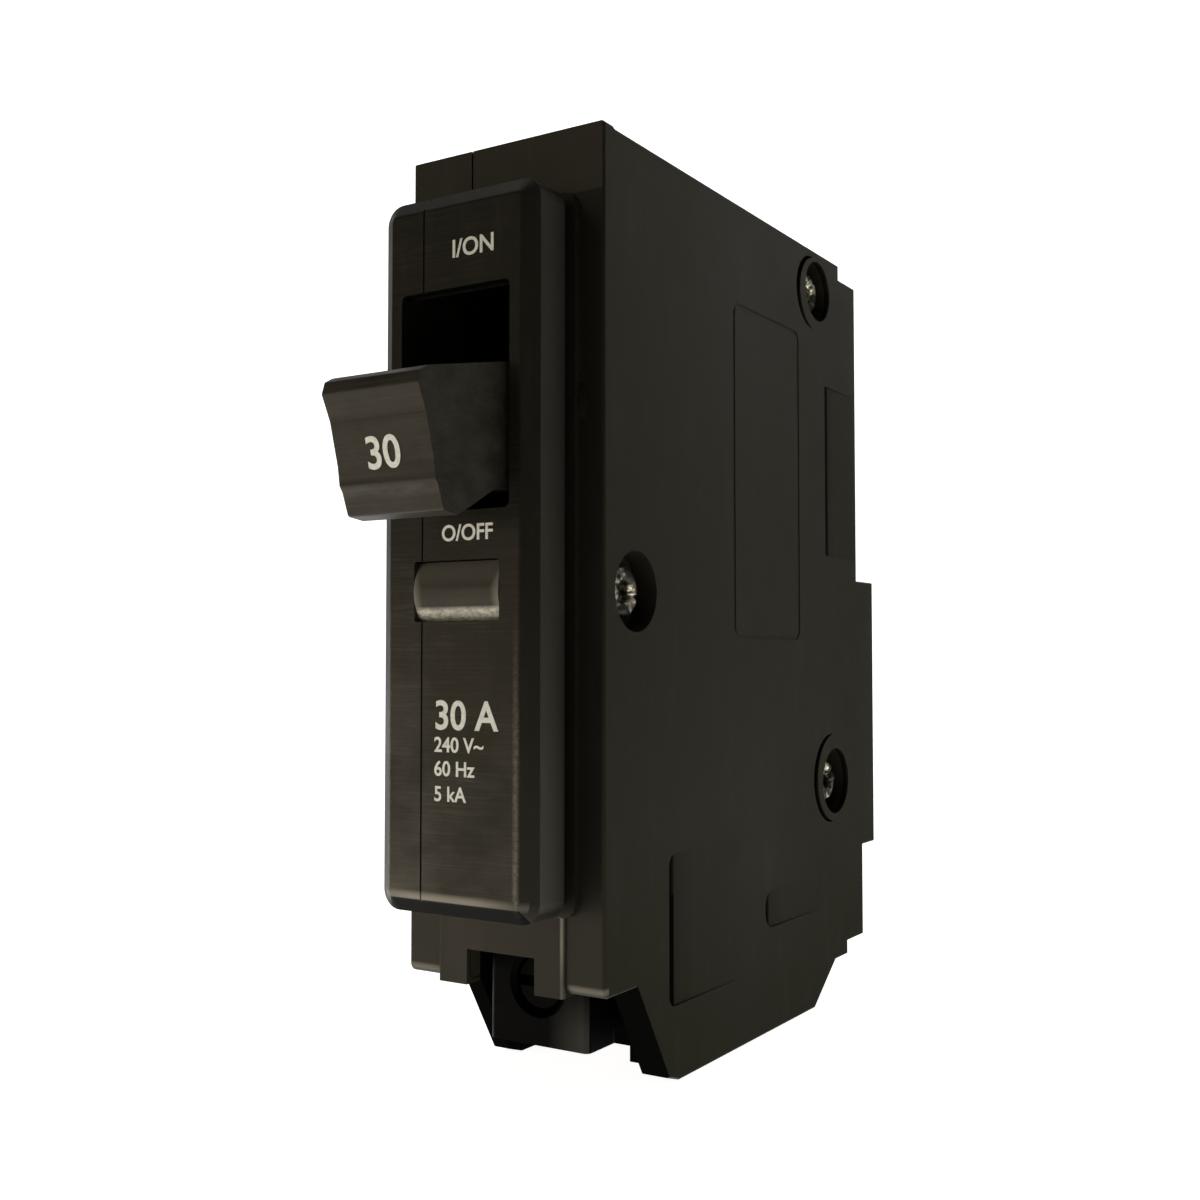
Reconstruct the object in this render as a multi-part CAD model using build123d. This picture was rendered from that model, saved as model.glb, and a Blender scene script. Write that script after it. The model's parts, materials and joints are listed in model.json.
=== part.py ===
from build123d import *
import os
from math import atan2, cos, degrees, hypot, radians, sin

# Single-pole plug-on circuit breaker, millimetres.
# Every piece is drawn from one datum: x = 0 at mid width (right +), y = 0 on the case's front
# wall (rear +), z = 0 where the case's rear foot ends (up +, towards the ON and line end).
# save() then moves it, so that the part's origin lies on the ground under the middle of its box.

# ---- case ----
WIDTH = 19.05                  # one 3/4 inch panel space
HEIGHT = 75.95                 # top face, behind the ridge
RIDGE_DEPTH, RIDGE_RISE = 1.7, 0.15    # low ridge along the front wall's top edge
GROUND_Z = -0.5                # level of the side wings' undersides
RIM_R = 0.25                   # rounding of the flanks' edges
LOWER_EDGE_R = 0.7             # rounding of the front wall's lower edge
HALF_W = WIDTH / 2
SEAM_X = -3.3                  # plane where the cover meets the base
SIDE_WALL = 1.7
END_WALL = 1.6
INNER_X = HALF_W - SIDE_WALL
FRONT_WALL_LOW = 8.4           # lower end of the front wall
REAR_LINE_Y = 51.35            # rear face of the line half
REAR_LOAD_Y = 56.0             # rear face of the load half
REAR_STEP_Z = 42.6
FOOT_FRONT_Y = 11.8            # side wings touch the ground from here ...
FOOT_REAR_Y = 40.3             # ... to here
WING_INNER_LEFT, WING_INNER_RIGHT = -6.5, 7.0
WING_OUTER_LEFT = -8.1         # the left wing is set in from the flank
CHAMBER_REAR = 18.2            # rear of the open load terminal chamber
SEAM_GROOVE = 0.16             # width and depth of the parting line

CASE_OUTLINE = [
    (0, FRONT_WALL_LOW), (0, HEIGHT + RIDGE_RISE), (RIDGE_DEPTH - 0.3, HEIGHT + RIDGE_RISE),
    (RIDGE_DEPTH, HEIGHT), (46.9, HEIGHT), (46.9, HEIGHT - 1.5),
    (REAR_LINE_Y, HEIGHT - 1.5), (REAR_LINE_Y, REAR_STEP_Z), (REAR_LOAD_Y, REAR_STEP_Z),
    (REAR_LOAD_Y, 14.2), (52.6, 14.2), (52.6, 4.65), (48.2, 4.65), (48.2, 3.3), (45.0, 3.3),
    (FOOT_REAR_Y, 0), (FOOT_REAR_Y - 0.7, GROUND_Z),
    (FOOT_FRONT_Y, GROUND_Z), (9.9, 0.1), (4.85, FRONT_WALL_LOW),
]
MECHANISM_ROOM = [
    (END_WALL, 16.2), (END_WALL, HEIGHT - END_WALL), (33.2, HEIGHT - END_WALL), (33.2, 41.0),
    (54.4, 41.0), (54.4, 15.8), (41.4, 15.8), (41.4, 2.8), (39.8, END_WALL), (19.8, END_WALL),
    (19.8, 16.2),
]
RIVET_ROOM = [(34.8, 64.0), (34.8, 74.4), (45.3, 74.4), (45.3, 72.9), (49.7, 72.9), (49.7, 64.0)]
STRIP_X0, STRIP_X1 = -6.2, 6.0         # raised strip on the front wall, below the nose
STRIP_RISE = 0.35
NOTCH_HALF_X, NOTCH_TOP = 3.3, 10.94   # screwdriver notch in the strip's lower end
CHAMBER_TOP = 14.6
RIB_Y0, RIB_Y1 = 9.6, 11.2             # ribs of the terminal chamber, behind the lug's bar
RIB_INNER_LEFT, RIB_INNER_RIGHT = -5.6, 6.0
VENTS_Y = (22.5, 25.5, 28.5)           # arc vents through the top

# recesses of the flanks: front and rear end, low and high end, corner radius
PANELS = [(10.0, 23.1, 5.7, 18.2, 1.0), (28.2, 41.2, 9.1, 12.6, 1.5), (42.9, 50.5, 44.8, 62.4, 0.3)]
PANEL_GROOVE, PANEL_GROOVE_WIDTH, PANEL_SHELF = 0.5, 1.0, 0.14
# engraved frame of the rating field on the right flank
FIELD = (22.0, 36.4, 36.1, 66.7)
FIELD_DEPTH, FIELD_LINE = 0.07, 0.35

# ---- nose (the raised escutcheon round the handle) ----
NOSE_Y = -6.19
NOSE_LEFT, NOSE_RIGHT = -7.75, 7.25
NOSE_LOW, NOSE_HIGH = 14.55, 70.6
NOSE_FLANGE_REAR = -2.1
NOSE_CORNER_R = 1.6
NOSE_BEVEL = (1.25, 0.9)       # across the front face, along y
NOSE_BEVEL_R = 0.5
NOSE_SKIN = 1.7
NOSE_ROOM_HALF_X = 5.4
NECK_INSET = 0.95
OPENING_LEFT, OPENING_RIGHT = -5.5, 5.0
OPENING_LOW, OPENING_HIGH = 45.6, 62.9
WINDOW_HALF_X = 4.1
WINDOW_LOW, WINDOW_HIGH = 37.1, 41.8
WINDOW_Z = (WINDOW_LOW + WINDOW_HIGH) / 2
FLAG_Y = -1.4                  # axis of the indicator barrel behind the window
FLAG_PIVOT_R = 0.55

# ---- rivets: (y, z, recess radius) ----
RIVETS = [(4.8, 39.6, 3.25), (41.3, 71.9, 3.05), (45.2, 21.6, 3.35)]
RIVET_R = 1.65
RIVET_BOSS_R = 4.0
RIVET_SEAT_X = 7.5
RIVET_ROLL, RIVET_ROLL_R = 1.5, 0.62   # rolled rim: ring radius and roll radius
RIVET_BORE_R = 0.9
# crescent grooves in front of the two rear rivets: y, z, radius, widest part
CRESCENTS = [(39.75, 71.45, 3.7, 0.9), (44.1, 22.0, 4.5, 1.0)]
CRESCENT_DEPTH = 0.45

# ---- handle ----
HANDLE_Y, HANDLE_Z = 3.0, 54.3
HANDLE_THROW = 34.0            # degrees from OFF to ON
HANDLE_HALF_X = 4.5
HUB_R = 5.2
HUB_HALF_X = 5.0
TRUNNION_R = 1.9
RUNNING_GAP = 0.05
HANDLE_PROFILE = [
    (2.5, 58.4), (-15.1, 54.75), (-15.9, 54.3), (-16.2, 53.4), (-15.3, 51.5), (-14.45, 48.3),
    (-14.25, 46.9), (-13.95, 46.5), (-13.3, 44.75), (-11.6, 44.55), (-7.2, 46.9), (-3.0, 47.2),
    (2.5, 50.0),
]
FORK_PROFILE = [(3.0, 59.4), (10.4, 58.35), (11.8, 55.6), (5.5, 49.9)]


# ---- contact arm: it is pivoted in the handle's fork, behind the trunnions ----
ARM_PIVOT_R = 7.5              # from the trunnions to the arm's ears
ARM_LIFT = 36.0                # the arm's own turn from OFF to ON, degrees
ARM_EAR_R = 1.0
CONTACT_Y = 28.2
CONTACT_R = 1.7
FIXED_FACE_Z = 57.0            # face of the fixed contact
CONTACT_GAP_ON = 0.05
MOVING_THICK = 1.1

# ---- trip lever ----
LEVER_Y, LEVER_Z = 24.0, 66.0
LEVER_PIN_R = 1.0
SPRING_HOOK = (6.0, 54.3)
SPRING_REACH = 9.0             # from the arm's ears to the spring's hole in the arm
TAIL_X0, TAIL_X1 = 3.5, 4.7

# ---- thermal and magnetic trip unit ----
BIMETAL_Y0, BIMETAL_Y1 = 36.4, 37.4
CAL_SCREW_Y, CAL_SCREW_R = 29.0, 1.5
ARMATURE_PIN = (31.0, 20.5)
ARMATURE_PIN_R = 0.7
ARMATURE_Y0, ARMATURE_Y1 = 29.4, 30.6
ARMATURE_TOP = 33.9

# ---- load terminal ----
LUG_HALF_X = 4.9
LUG_FRONT, LUG_STEP = 4.95, 9.25
SCREW_Z = 7.6
SCREW_R = 2.4
PLATE_FRONT = LUG_STEP + 0.2   # rest place of the pressure plate, at the screw's point
STRAP_HALF_X = 3.4
STRAP_LOW, STRAP_THICK = 12.9, 1.0

# ---- line terminal ----
JAW_LOW, JAW_HIGH = 46.0, 61.0
POCKET_HALF_X = 4.4
POCKET_LOW, POCKET_HIGH = 45.0, 62.4
POCKET_FRONT = 35.2
TONGUE_HALF_X = 2.6
TONGUE_THICK = 1.2

# ---- room of the rail clip ----
CLIP_ROOM_HALF_X = 6.4
CLIP_ROOM_FRONT = 43.1
CLIP_ROOM_LOW, CLIP_ROOM_HIGH = 5.7, 13.1


def block(x0, x1, y0, y1, z0, z1):
    """Box between two corners."""
    middle = ((x0 + x1) / 2, (y0 + y1) / 2, (z0 + z1) / 2)
    return Pos(*middle) * Box(x1 - x0, y1 - y0, z1 - z0)


def side_plate(outline, x0, x1):
    """Plate with a (y, z) outline, from x0 to x1."""
    face = make_face(Polyline(*[(x0, y, z) for y, z in outline], close=True))
    return extrude(face, amount=x1 - x0, dir=(1, 0, 0))


def plan_plate(outline, z0, z1):
    """Plate with an (x, y) outline, from z0 to z1."""
    face = make_face(Polyline(*[(x, y, z0) for x, y in outline], close=True))
    return extrude(face, amount=z1 - z0, dir=(0, 0, 1))


def rod_x(y, z, radius, x0, x1):
    return Pos((x0 + x1) / 2, y, z) * Rot(0, 90, 0) * Cylinder(radius, x1 - x0)


def rod_y(x, z, radius, y0, y1):
    return Pos(x, (y0 + y1) / 2, z) * Rot(90, 0, 0) * Cylinder(radius, y1 - y0)


def rod_z(x, y, radius, z0, z1):
    return Pos(x, y, (z0 + z1) / 2) * Cylinder(radius, z1 - z0)


def mirrored(shape):
    return shape + mirror(shape, about=Plane.YZ)


def rounded_block(x0, x1, y0, y1, z0, z1, radius):
    """Block whose four edges along y are rounded."""
    body = block(x0, x1, y0, y1, z0, z1)
    return fillet(body.edges().filter_by(Axis.Y), radius)


def save(name, *solids):
    """Write one node in the part's own frame."""
    placed = [Pos(0, -middle_y, -GROUND_Z) * solid for body in solids for solid in body.solids()]
    shape = placed[0] if len(placed) == 1 else Compound(children=placed)
    export_step(shape, f"parts/{name}.step")


# ---------------------------------------------------------------- case

def outline_face(x):
    """The case's side view as a face at this x, with its lower front corner rounded."""
    face = make_face(Polyline(*[(x, y, z) for y, z in CASE_OUTLINE], close=True))
    corner = face.vertices().sort_by_distance((x, 0, FRONT_WALL_LOW))[0]
    return fillet(corner, LOWER_EDGE_R)


def nose_outside():
    """Flange with rounded corners and front edges, on a narrower neck, on a thin seating step."""
    flange = rounded_block(NOSE_LEFT, NOSE_RIGHT, NOSE_Y, NOSE_FLANGE_REAR, NOSE_LOW, NOSE_HIGH,
                           NOSE_CORNER_R)
    front = flange.faces().sort_by(Axis.Y)[0]
    flange = chamfer(front.edges(), *NOSE_BEVEL, reference=front)
    flange = fillet(flange.faces().sort_by(Axis.Y)[0].edges(), NOSE_BEVEL_R)
    neck = block(NOSE_LEFT + NECK_INSET, NOSE_RIGHT - NECK_INSET, NOSE_FLANGE_REAR, 0.1,
                 NOSE_LOW + NECK_INSET, NOSE_HIGH - NECK_INSET)
    step = rounded_block(NOSE_LEFT, NOSE_RIGHT, -0.6, 0.1, NOSE_LOW - 0.2, NOSE_HIGH + 0.2, 1.2)
    return flange + neck + step


def seam_groove():
    """Thin channel round the outside, along the plane where the halves meet."""
    nose = block(SEAM_X, SEAM_X + 1, NOSE_Y, END_WALL, NOSE_LOW, NOSE_HIGH).faces().sort_by(Axis.X)[0]
    profile = outline_face(SEAM_X) + nose
    outside = extrude(profile, amount=SEAM_GROOVE / 2, dir=(1, 0, 0), both=True)
    inside = extrude(offset(profile, amount=-SEAM_GROOVE), amount=SEAM_GROOVE, dir=(1, 0, 0), both=True)
    return outside - inside


def field_frame():
    """Shallow engraved frame of the rating field on the right face."""
    def plate(inset):
        y0, y1, z0, z1 = FIELD
        solid = block(HALF_W - FIELD_DEPTH, HALF_W + 1, y0 + inset, y1 - inset, z0 + inset, z1 - inset)
        return fillet(solid.edges().filter_by(Axis.X), 1.0 - inset)
    return plate(0) - plate(FIELD_LINE)


def panel_recess(y0, y1, z0, z1, radius):
    """Recessed panel in the right face: V groove along its front edge, then a shallow ramp."""
    profile = [(HALF_W + 1, y0), (HALF_W, y0), (HALF_W - PANEL_GROOVE, y0 + 0.2),
               (HALF_W - PANEL_SHELF, y0 + PANEL_GROOVE_WIDTH), (HALF_W, y1), (HALF_W + 1, y1)]
    window = block(HALF_W - 1, HALF_W + 1, y0, y1 + 3, z0, z1)
    return plan_plate(profile, z0, z1) & fillet(window.edges().filter_by(Axis.X), radius)


def crescent(y, z, radius, width):
    """Moon-shaped groove in the right face, with its horns to the rear."""
    full = rod_x(y, z, radius, HALF_W - CRESCENT_DEPTH, HALF_W + 1)
    return full - rod_x(y + width, z, radius, 0, HALF_W + 2)


def case():
    """Both case halves as one hollow body, before it is cut at the seam."""
    shell = extrude(outline_face(-HALF_W), amount=WIDTH, dir=(1, 0, 0))
    rim = [e for e in shell.edges() if abs(abs(e.center().X) - HALF_W) < 1e-6]
    shell = fillet(rim, RIM_R)
    shell += nose_outside()
    strip = block(STRIP_X0, STRIP_X1, -STRIP_RISE, END_WALL, FRONT_WALL_LOW - 0.3, NOSE_LOW + 1)
    shell += fillet(strip.edges().filter_by(Axis.Z).group_by(Axis.Y)[0], 0.25)

    # rooms: mechanism, rear rivet, hollow of the nose
    shell -= side_plate(MECHANISM_ROOM, -INNER_X, INNER_X)
    shell -= side_plate(RIVET_ROOM, -INNER_X, INNER_X)
    shell -= block(-NOSE_ROOM_HALF_X, NOSE_ROOM_HALF_X, NOSE_Y + NOSE_SKIN, END_WALL + 0.1,
                   NOSE_LOW + 2, NOSE_HIGH - 2)
    # load terminal chamber, open to the front and below between the two wings
    shell -= block(WING_INNER_LEFT, WING_INNER_RIGHT, END_WALL, CHAMBER_REAR, -1, CHAMBER_TOP)
    shell -= block(-HALF_W - 1, WING_OUTER_LEFT, -1, CHAMBER_REAR, -1, FRONT_WALL_LOW)
    shell -= block(-NOTCH_HALF_X, NOTCH_HALF_X, -1, END_WALL + 0.1, 7, NOTCH_TOP)
    shell += block(RIB_INNER_RIGHT, WING_INNER_RIGHT + 0.1, RIB_Y0, RIB_Y1, 1.0, CHAMBER_TOP + 0.1)
    shell += block(WING_INNER_LEFT - 0.1, RIB_INNER_LEFT, RIB_Y0, RIB_Y1, 1.0, CHAMBER_TOP + 0.1)
    # pockets of the bus jaw and of the rail clip, both open to the rear
    shell -= block(-POCKET_HALF_X, POCKET_HALF_X, POCKET_FRONT, REAR_LINE_Y + 1, POCKET_LOW, POCKET_HIGH)
    shell -= block(-CLIP_ROOM_HALF_X, CLIP_ROOM_HALF_X, CLIP_ROOM_FRONT, REAR_LOAD_Y + 2,
                   CLIP_ROOM_LOW, CLIP_ROOM_HIGH)

    # bosses inside: rivets, trunnions, lever pin, calibration screw
    for y, z, _ in RIVETS:
        shell += rod_x(y, z, RIVET_BOSS_R, -INNER_X - 0.1, INNER_X + 0.1)
    trunnion_boss = rod_x(HANDLE_Y, HANDLE_Z, 3.3, NOSE_ROOM_HALF_X, INNER_X + 0.1)
    pin_boss = rod_x(LEVER_Y, LEVER_Z, 2.3, NOSE_ROOM_HALF_X, INNER_X + 0.1)
    shell += mirrored(trunnion_boss + pin_boss)
    shell += rod_z(0, CAL_SCREW_Y, 2.9, END_WALL - 0.1, 6.5)

    # openings of the front: handle and indicator window
    shell -= rounded_block(OPENING_LEFT, OPENING_RIGHT, NOSE_Y - 1, END_WALL + 0.1,
                           OPENING_LOW, OPENING_HIGH, 0.5)
    shell -= rounded_block(-WINDOW_HALF_X, WINDOW_HALF_X, NOSE_Y - 1, -3, WINDOW_LOW, WINDOW_HIGH, 0.3)

    # holes: rivets and their recesses, trunnions, pins, straps, calibration screw, arc vents
    for y, z, recess_r in RIVETS:
        shell -= rod_x(y, z, RIVET_R, -HALF_W - 1, HALF_W + 1)
        shell -= mirrored(rod_x(y, z, recess_r, RIVET_SEAT_X, HALF_W + 1))
    shell -= mirrored(rod_x(HANDLE_Y, HANDLE_Z, TRUNNION_R + RUNNING_GAP, HUB_HALF_X, 8.6))
    shell -= rod_x(LEVER_Y, LEVER_Z, LEVER_PIN_R, -8.6, 8.6)
    shell -= mirrored(rod_x(FLAG_Y, WINDOW_Z, FLAG_PIVOT_R + RUNNING_GAP, 5.0, 6.2))
    shell -= block(-TONGUE_HALF_X, TONGUE_HALF_X, 33, POCKET_FRONT + 0.1, 58.0, 58.0 + TONGUE_THICK)
    shell -= block(-STRAP_HALF_X, STRAP_HALF_X, 18, 20, STRAP_LOW, STRAP_LOW + STRAP_THICK)
    shell -= rod_z(0, CAL_SCREW_Y, CAL_SCREW_R, -1, 7)
    shell -= rod_z(0, CAL_SCREW_Y, 2.2, -1, 0.8)
    for y in VENTS_Y:
        shell -= block(-4.5, 4.5, y - 0.6, y + 0.6, HEIGHT - END_WALL - 0.1, HEIGHT + 1)

    # shallow recesses of the flanks
    recesses = [panel_recess(*panel) for panel in PANELS]
    recesses += [crescent(*moon) for moon in CRESCENTS]
    for recess in recesses:
        shell -= mirrored(recess)
    return shell - field_frame() - seam_groove()


def rivet(y, z):
    """Semi-tubular rivet: plain shank, and a rolled rim at each end."""
    end = RIVET_SEAT_X + RIVET_ROLL_R
    rim = Pos(end, y, z) * Rot(0, 90, 0) * Torus(RIVET_ROLL, RIVET_ROLL_R)
    shank = rod_x(y, z, RIVET_R, -end, end)
    drilled = mirrored(rod_x(y, z, RIVET_BORE_R, end - 2.8, end + 1.3))
    return shank + mirrored(rim) - drilled


# ---------------------------------------------------------------- handle

def handle():
    """Toggle lever on a hub with trunnions, and behind it the fork that carries the contact arm."""
    lever = side_plate(HANDLE_PROFILE, -HANDLE_HALF_X, HANDLE_HALF_X)
    corners = lever.edges().filter_by(Axis.X).filter_by(lambda e: e.center().Y < -11)
    lever = fillet(corners, 0.3)
    hub = rod_x(HANDLE_Y, HANDLE_Z, HUB_R, -HUB_HALF_X, HUB_HALF_X)
    body = hub + lever + side_plate(FORK_PROFILE, -HUB_HALF_X, HUB_HALF_X)
    body -= block(-3.0, 3.0, HANDLE_Y - 4.0, HANDLE_Y + 10, HANDLE_Z - 12, HANDLE_Z + 12)
    body += mirrored(rod_x(HANDLE_Y, HANDLE_Z, TRUNNION_R, HUB_HALF_X - 0.5, 8.4))
    ear_y, ear_z = arm_pivot(0)
    body += mirrored(rod_x(ear_y, ear_z, 1.9, 3.0, HUB_HALF_X))
    return body - mirrored(rod_x(ear_y, ear_z, ARM_EAR_R + RUNNING_GAP, 2.9, 4.3))


def arm_pivot(swing):
    """Where the arm's ears are, with the handle swung by this many degrees from OFF."""
    angle = radians(HANDLE_THROW / 2 - swing)
    return HANDLE_Y + ARM_PIVOT_R * cos(angle), HANDLE_Z + ARM_PIVOT_R * sin(angle)


# ---------------------------------------------------------------- contacts

def to_off(shape):
    """Carry a piece of the contact arm from where it is at ON to where it is at OFF."""
    on_y, on_z = arm_pivot(HANDLE_THROW)
    off_y, off_z = arm_pivot(0)
    turned = shape.rotate(Axis((0, on_y, on_z), (1, 0, 0)), -ARM_LIFT)
    return Pos(0, off_y - on_y, off_z - on_z) * turned


def contact_arm():
    """Copper blade: two legs with ears at the handle, one web that carries the contact."""
    ear_y, ear_z = arm_pivot(HANDLE_THROW)
    top = FIXED_FACE_Z - CONTACT_GAP_ON - MOVING_THICK
    under = top - 1.5
    profile = [(ear_y - 1.2, ear_z - 0.6), (ear_y - 0.6, ear_z + 1.2), (24.5, top), (30.2, top),
               (30.2, under), (25.0, under), (ear_y + 0.8, ear_z - 1.3)]
    arm = side_plate(profile, -2.9, 2.9)
    arm -= block(-1.9, 1.9, ear_y - 3, ear_y + SPRING_REACH - 1.2, ear_z - 4, ear_z + 8)
    hook_y, hook_z = spring_end_on_arm()
    arm -= rod_z(0, hook_y, 0.55, hook_z - 4, hook_z + 4)
    arm += mirrored(rod_x(ear_y, ear_z, ARM_EAR_R, 2.0, 4.2))
    return to_off(arm)


def moving_contact():
    top = FIXED_FACE_Z - CONTACT_GAP_ON
    button = rod_z(0, CONTACT_Y, CONTACT_R, top - MOVING_THICK, top)
    rim = button.faces().sort_by(Axis.Z)[-1].edges()
    return to_off(fillet(rim, 0.3))


def fixed_contact():
    button = rod_z(0, CONTACT_Y, CONTACT_R, FIXED_FACE_Z, 58.0)
    rim = button.faces().sort_by(Axis.Z)[0].edges()
    return fillet(rim, 0.25)


def spring_end_on_arm():
    """The spring's hole in the arm, at ON."""
    ear_y, ear_z = arm_pivot(HANDLE_THROW)
    slope = radians(12)
    return ear_y + SPRING_REACH * cos(slope), ear_z + SPRING_REACH * sin(slope)


def line_jaw():
    """Copper jaw: a base, two leaves that pinch the bus stab, and the tongue of the fixed contact."""
    leaf = plan_plate([(1.8, 36.0), (1.8, 40.0), (1.3, 45.5), (3.1, 50.2), (3.8, 49.9), (2.1, 45.3),
                       (2.6, 40.0), (2.6, 36.0)], JAW_LOW, JAW_HIGH)
    base = block(-2.6, 2.6, 36.0, 36.8, JAW_LOW, JAW_HIGH)
    tongue = block(-TONGUE_HALF_X, TONGUE_HALF_X, 25.6, 36.1, 58.0, 58.0 + TONGUE_THICK)
    return mirrored(leaf) + base + tongue


def jaw_spring():
    """Spring steel clip outside the leaves, below the tongue."""
    arm = plan_plate([(2.65, 35.4), (2.65, 40.0), (2.2, 44.6), (2.7, 44.7), (3.15, 40.0), (3.15, 35.4)],
                     49.0, 56.5)
    base = block(-3.15, 3.15, 35.4, 35.9, 49.0, 56.5)
    return mirrored(arm) + base


def arc_plate(z):
    """Steel plate with a notch that the arm's tip passes."""
    return block(-5.2, 5.2, 30.4, 33.1, z, z + 0.8) - block(-3.3, 3.3, 30, 31.7, z - 1, z + 2)


# ---------------------------------------------------------------- tripping

def trip_lever():
    """Bent steel lever: spring arm at mid width, hub on the pin, tail beside the contact arm."""
    hook_y, hook_z = SPRING_HOOK
    spring_arm = side_plate([(hook_y - 1.0, hook_z - 1.1), (hook_y - 1.0, hook_z + 4.7),
                             (LEVER_Y - 1.5, LEVER_Z + 1.6), (LEVER_Y + 0.8, LEVER_Z - 1.8),
                             (hook_y + 1.2, hook_z + 2.6), (hook_y + 0.9, hook_z - 1.1)], -0.5, 0.5)
    hub = rod_x(LEVER_Y, LEVER_Z, 2.2, -1.4, TAIL_X1)
    tail = side_plate([(22.2, 66.0), (22.9, 44.0), (24.6, 36.5), (24.6, 34.3), (30.2, 34.3),
                       (30.2, 35.9), (27.2, 36.7), (25.4, 44.0), (25.9, 66.0)], TAIL_X0, TAIL_X1)
    lever = spring_arm + hub + tail - rod_x(LEVER_Y, LEVER_Z, LEVER_PIN_R + RUNNING_GAP, -3, 6)
    return lever - rod_x(hook_y, hook_z, 0.4, -1, 1)


def coil(start, end, radius, wire_r, turns):
    """Round-wire coil between two points of the plane x = 0."""
    length = hypot(end[0] - start[0], end[1] - start[1])
    tilt = degrees(atan2(end[0] - start[0], end[1] - start[1]))
    path = Helix(pitch=length / turns, height=length, radius=radius)
    section = Plane(origin=path @ 0, z_dir=path % 0) * Circle(wire_r)
    spring = sweep(section, path=path, is_frenet=True)
    return Pos(0, start[0], start[1]) * Rot(-tilt, 0, 0) * spring


def main_spring():
    """Toggle spring from the lever's hook to the contact arm, as it lies at OFF."""
    angle = radians(12 - ARM_LIFT)
    ear_y, ear_z = arm_pivot(0)
    end = (ear_y + (SPRING_REACH - 2.2) * cos(angle), ear_z + (SPRING_REACH - 2.2) * sin(angle))
    return coil((SPRING_HOOK[0] + 1.4, SPRING_HOOK[1] - 0.1), end, 1.25, 0.25, 11)


def magnet_yoke():
    """U of soft steel behind the bimetal, with ears for the armature's pin."""
    pin_y, pin_z = ARMATURE_PIN
    back = block(-5.2, 5.2, BIMETAL_Y1, 38.8, 21.0, 32.0)
    leg = side_plate([(38.8, 21.0), (38.8, 32.0), (32.2, 32.0), (32.2, 23.0), (pin_y, 22.2), (pin_y, 18.8)],
                     4.0, 5.2)
    leg += rod_x(pin_y, pin_z, 1.7, 4.0, 5.2)
    leg -= rod_x(pin_y, pin_z, ARMATURE_PIN_R, 3, 6)
    return back + mirrored(leg)


def armature():
    """Steel plate with a rolled eye below and a latch arm above."""
    pin_y, pin_z = ARMATURE_PIN
    plate = block(-5.2, 5.2, ARMATURE_Y0, ARMATURE_Y1, 23.0, 32.0)
    latch = block(3.2, 5.2, ARMATURE_Y0, ARMATURE_Y1, 31.9, ARMATURE_TOP)
    neck = block(-3.6, 3.6, ARMATURE_Y0, ARMATURE_Y1, pin_z, 23.1)
    eye = rod_x(pin_y, pin_z, 1.6, -3.6, 3.6)
    return plate + latch + neck + eye - rod_x(pin_y, pin_z, ARMATURE_PIN_R + RUNNING_GAP, -4, 4)


def braid():
    """Flat copper braid from the bimetal's free end to the contact arm."""
    route = FilletPolyline((0, 35.85, 34.5), (0, 35.85, 38.9), (0, 31.5, 40.2), (0, 22.5, 41.5),
                           (0, 19.6, 46.0), (0, 19.0, 50.4), radius=[1.4, 3.0, 2.6, 3.0])
    section = Plane(origin=route @ 0, x_dir=(1, 0, 0), z_dir=route % 0) * Rectangle(3.0, 1.0)
    return sweep(section, path=route)


def trip_flag():
    """Indicator barrel behind the window, with its two stub pivots."""
    barrel = rod_x(FLAG_Y, WINDOW_Z, 1.9, -4.4, 4.4)
    return barrel + rod_x(FLAG_Y, WINDOW_Z, FLAG_PIVOT_R, -5.9, 5.9)


def window_lens():
    """Clear bar with a crowned front, and a flange that holds it behind the nose."""
    low, high = WINDOW_LOW + 0.05, WINDOW_HIGH - 0.05
    crown = ThreePointArc((0, -5.35, low), (0, -6.3, WINDOW_Z), (0, -5.35, high))
    back = Polyline((0, -5.35, high), (0, -4.2, high), (0, -4.2, low), (0, -5.35, low))
    half = WINDOW_HALF_X - 0.05
    bar = extrude(make_face([crown, back]), amount=half, both=True)
    return bar + block(-4.8, 4.8, -4.49, -3.6, low - 0.6, high + 0.6)


# ---------------------------------------------------------------- load terminal

def lug():
    """Threaded front bar and a collar that the wire goes into from below."""
    bar = block(-LUG_HALF_X, LUG_HALF_X, LUG_FRONT, LUG_STEP, 2.5, 12.4)
    bar = fillet(bar.edges().filter_by(Axis.Z), 0.5)
    collar = block(-LUG_HALF_X, LUG_HALF_X, LUG_STEP - 0.6, 16.9, 3.6, 12.4)
    collar -= block(-3.7, 3.7, LUG_STEP, 15.9, 3, 13)
    body = bar + collar
    body -= rod_y(0, SCREW_Z, SCREW_R + RUNNING_GAP, LUG_FRONT - 1, LUG_STEP + 1)
    return chamfer(body.faces().sort_by(Axis.Y)[0].edges().filter_by(GeomType.CIRCLE), 0.4)


def lug_screw():
    """Headless slotted screw; its point bears on the pressure plate."""
    front = LUG_FRONT + 0.35
    body = rod_y(0, SCREW_Z, SCREW_R, front, PLATE_FRONT)
    body = chamfer(body.edges().filter_by(GeomType.CIRCLE), 0.3)
    slot = block(-SCREW_R - 1, SCREW_R + 1, front - 1, front + 1.3, SCREW_Z - 0.45, SCREW_Z + 0.45)
    return body - slot


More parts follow.
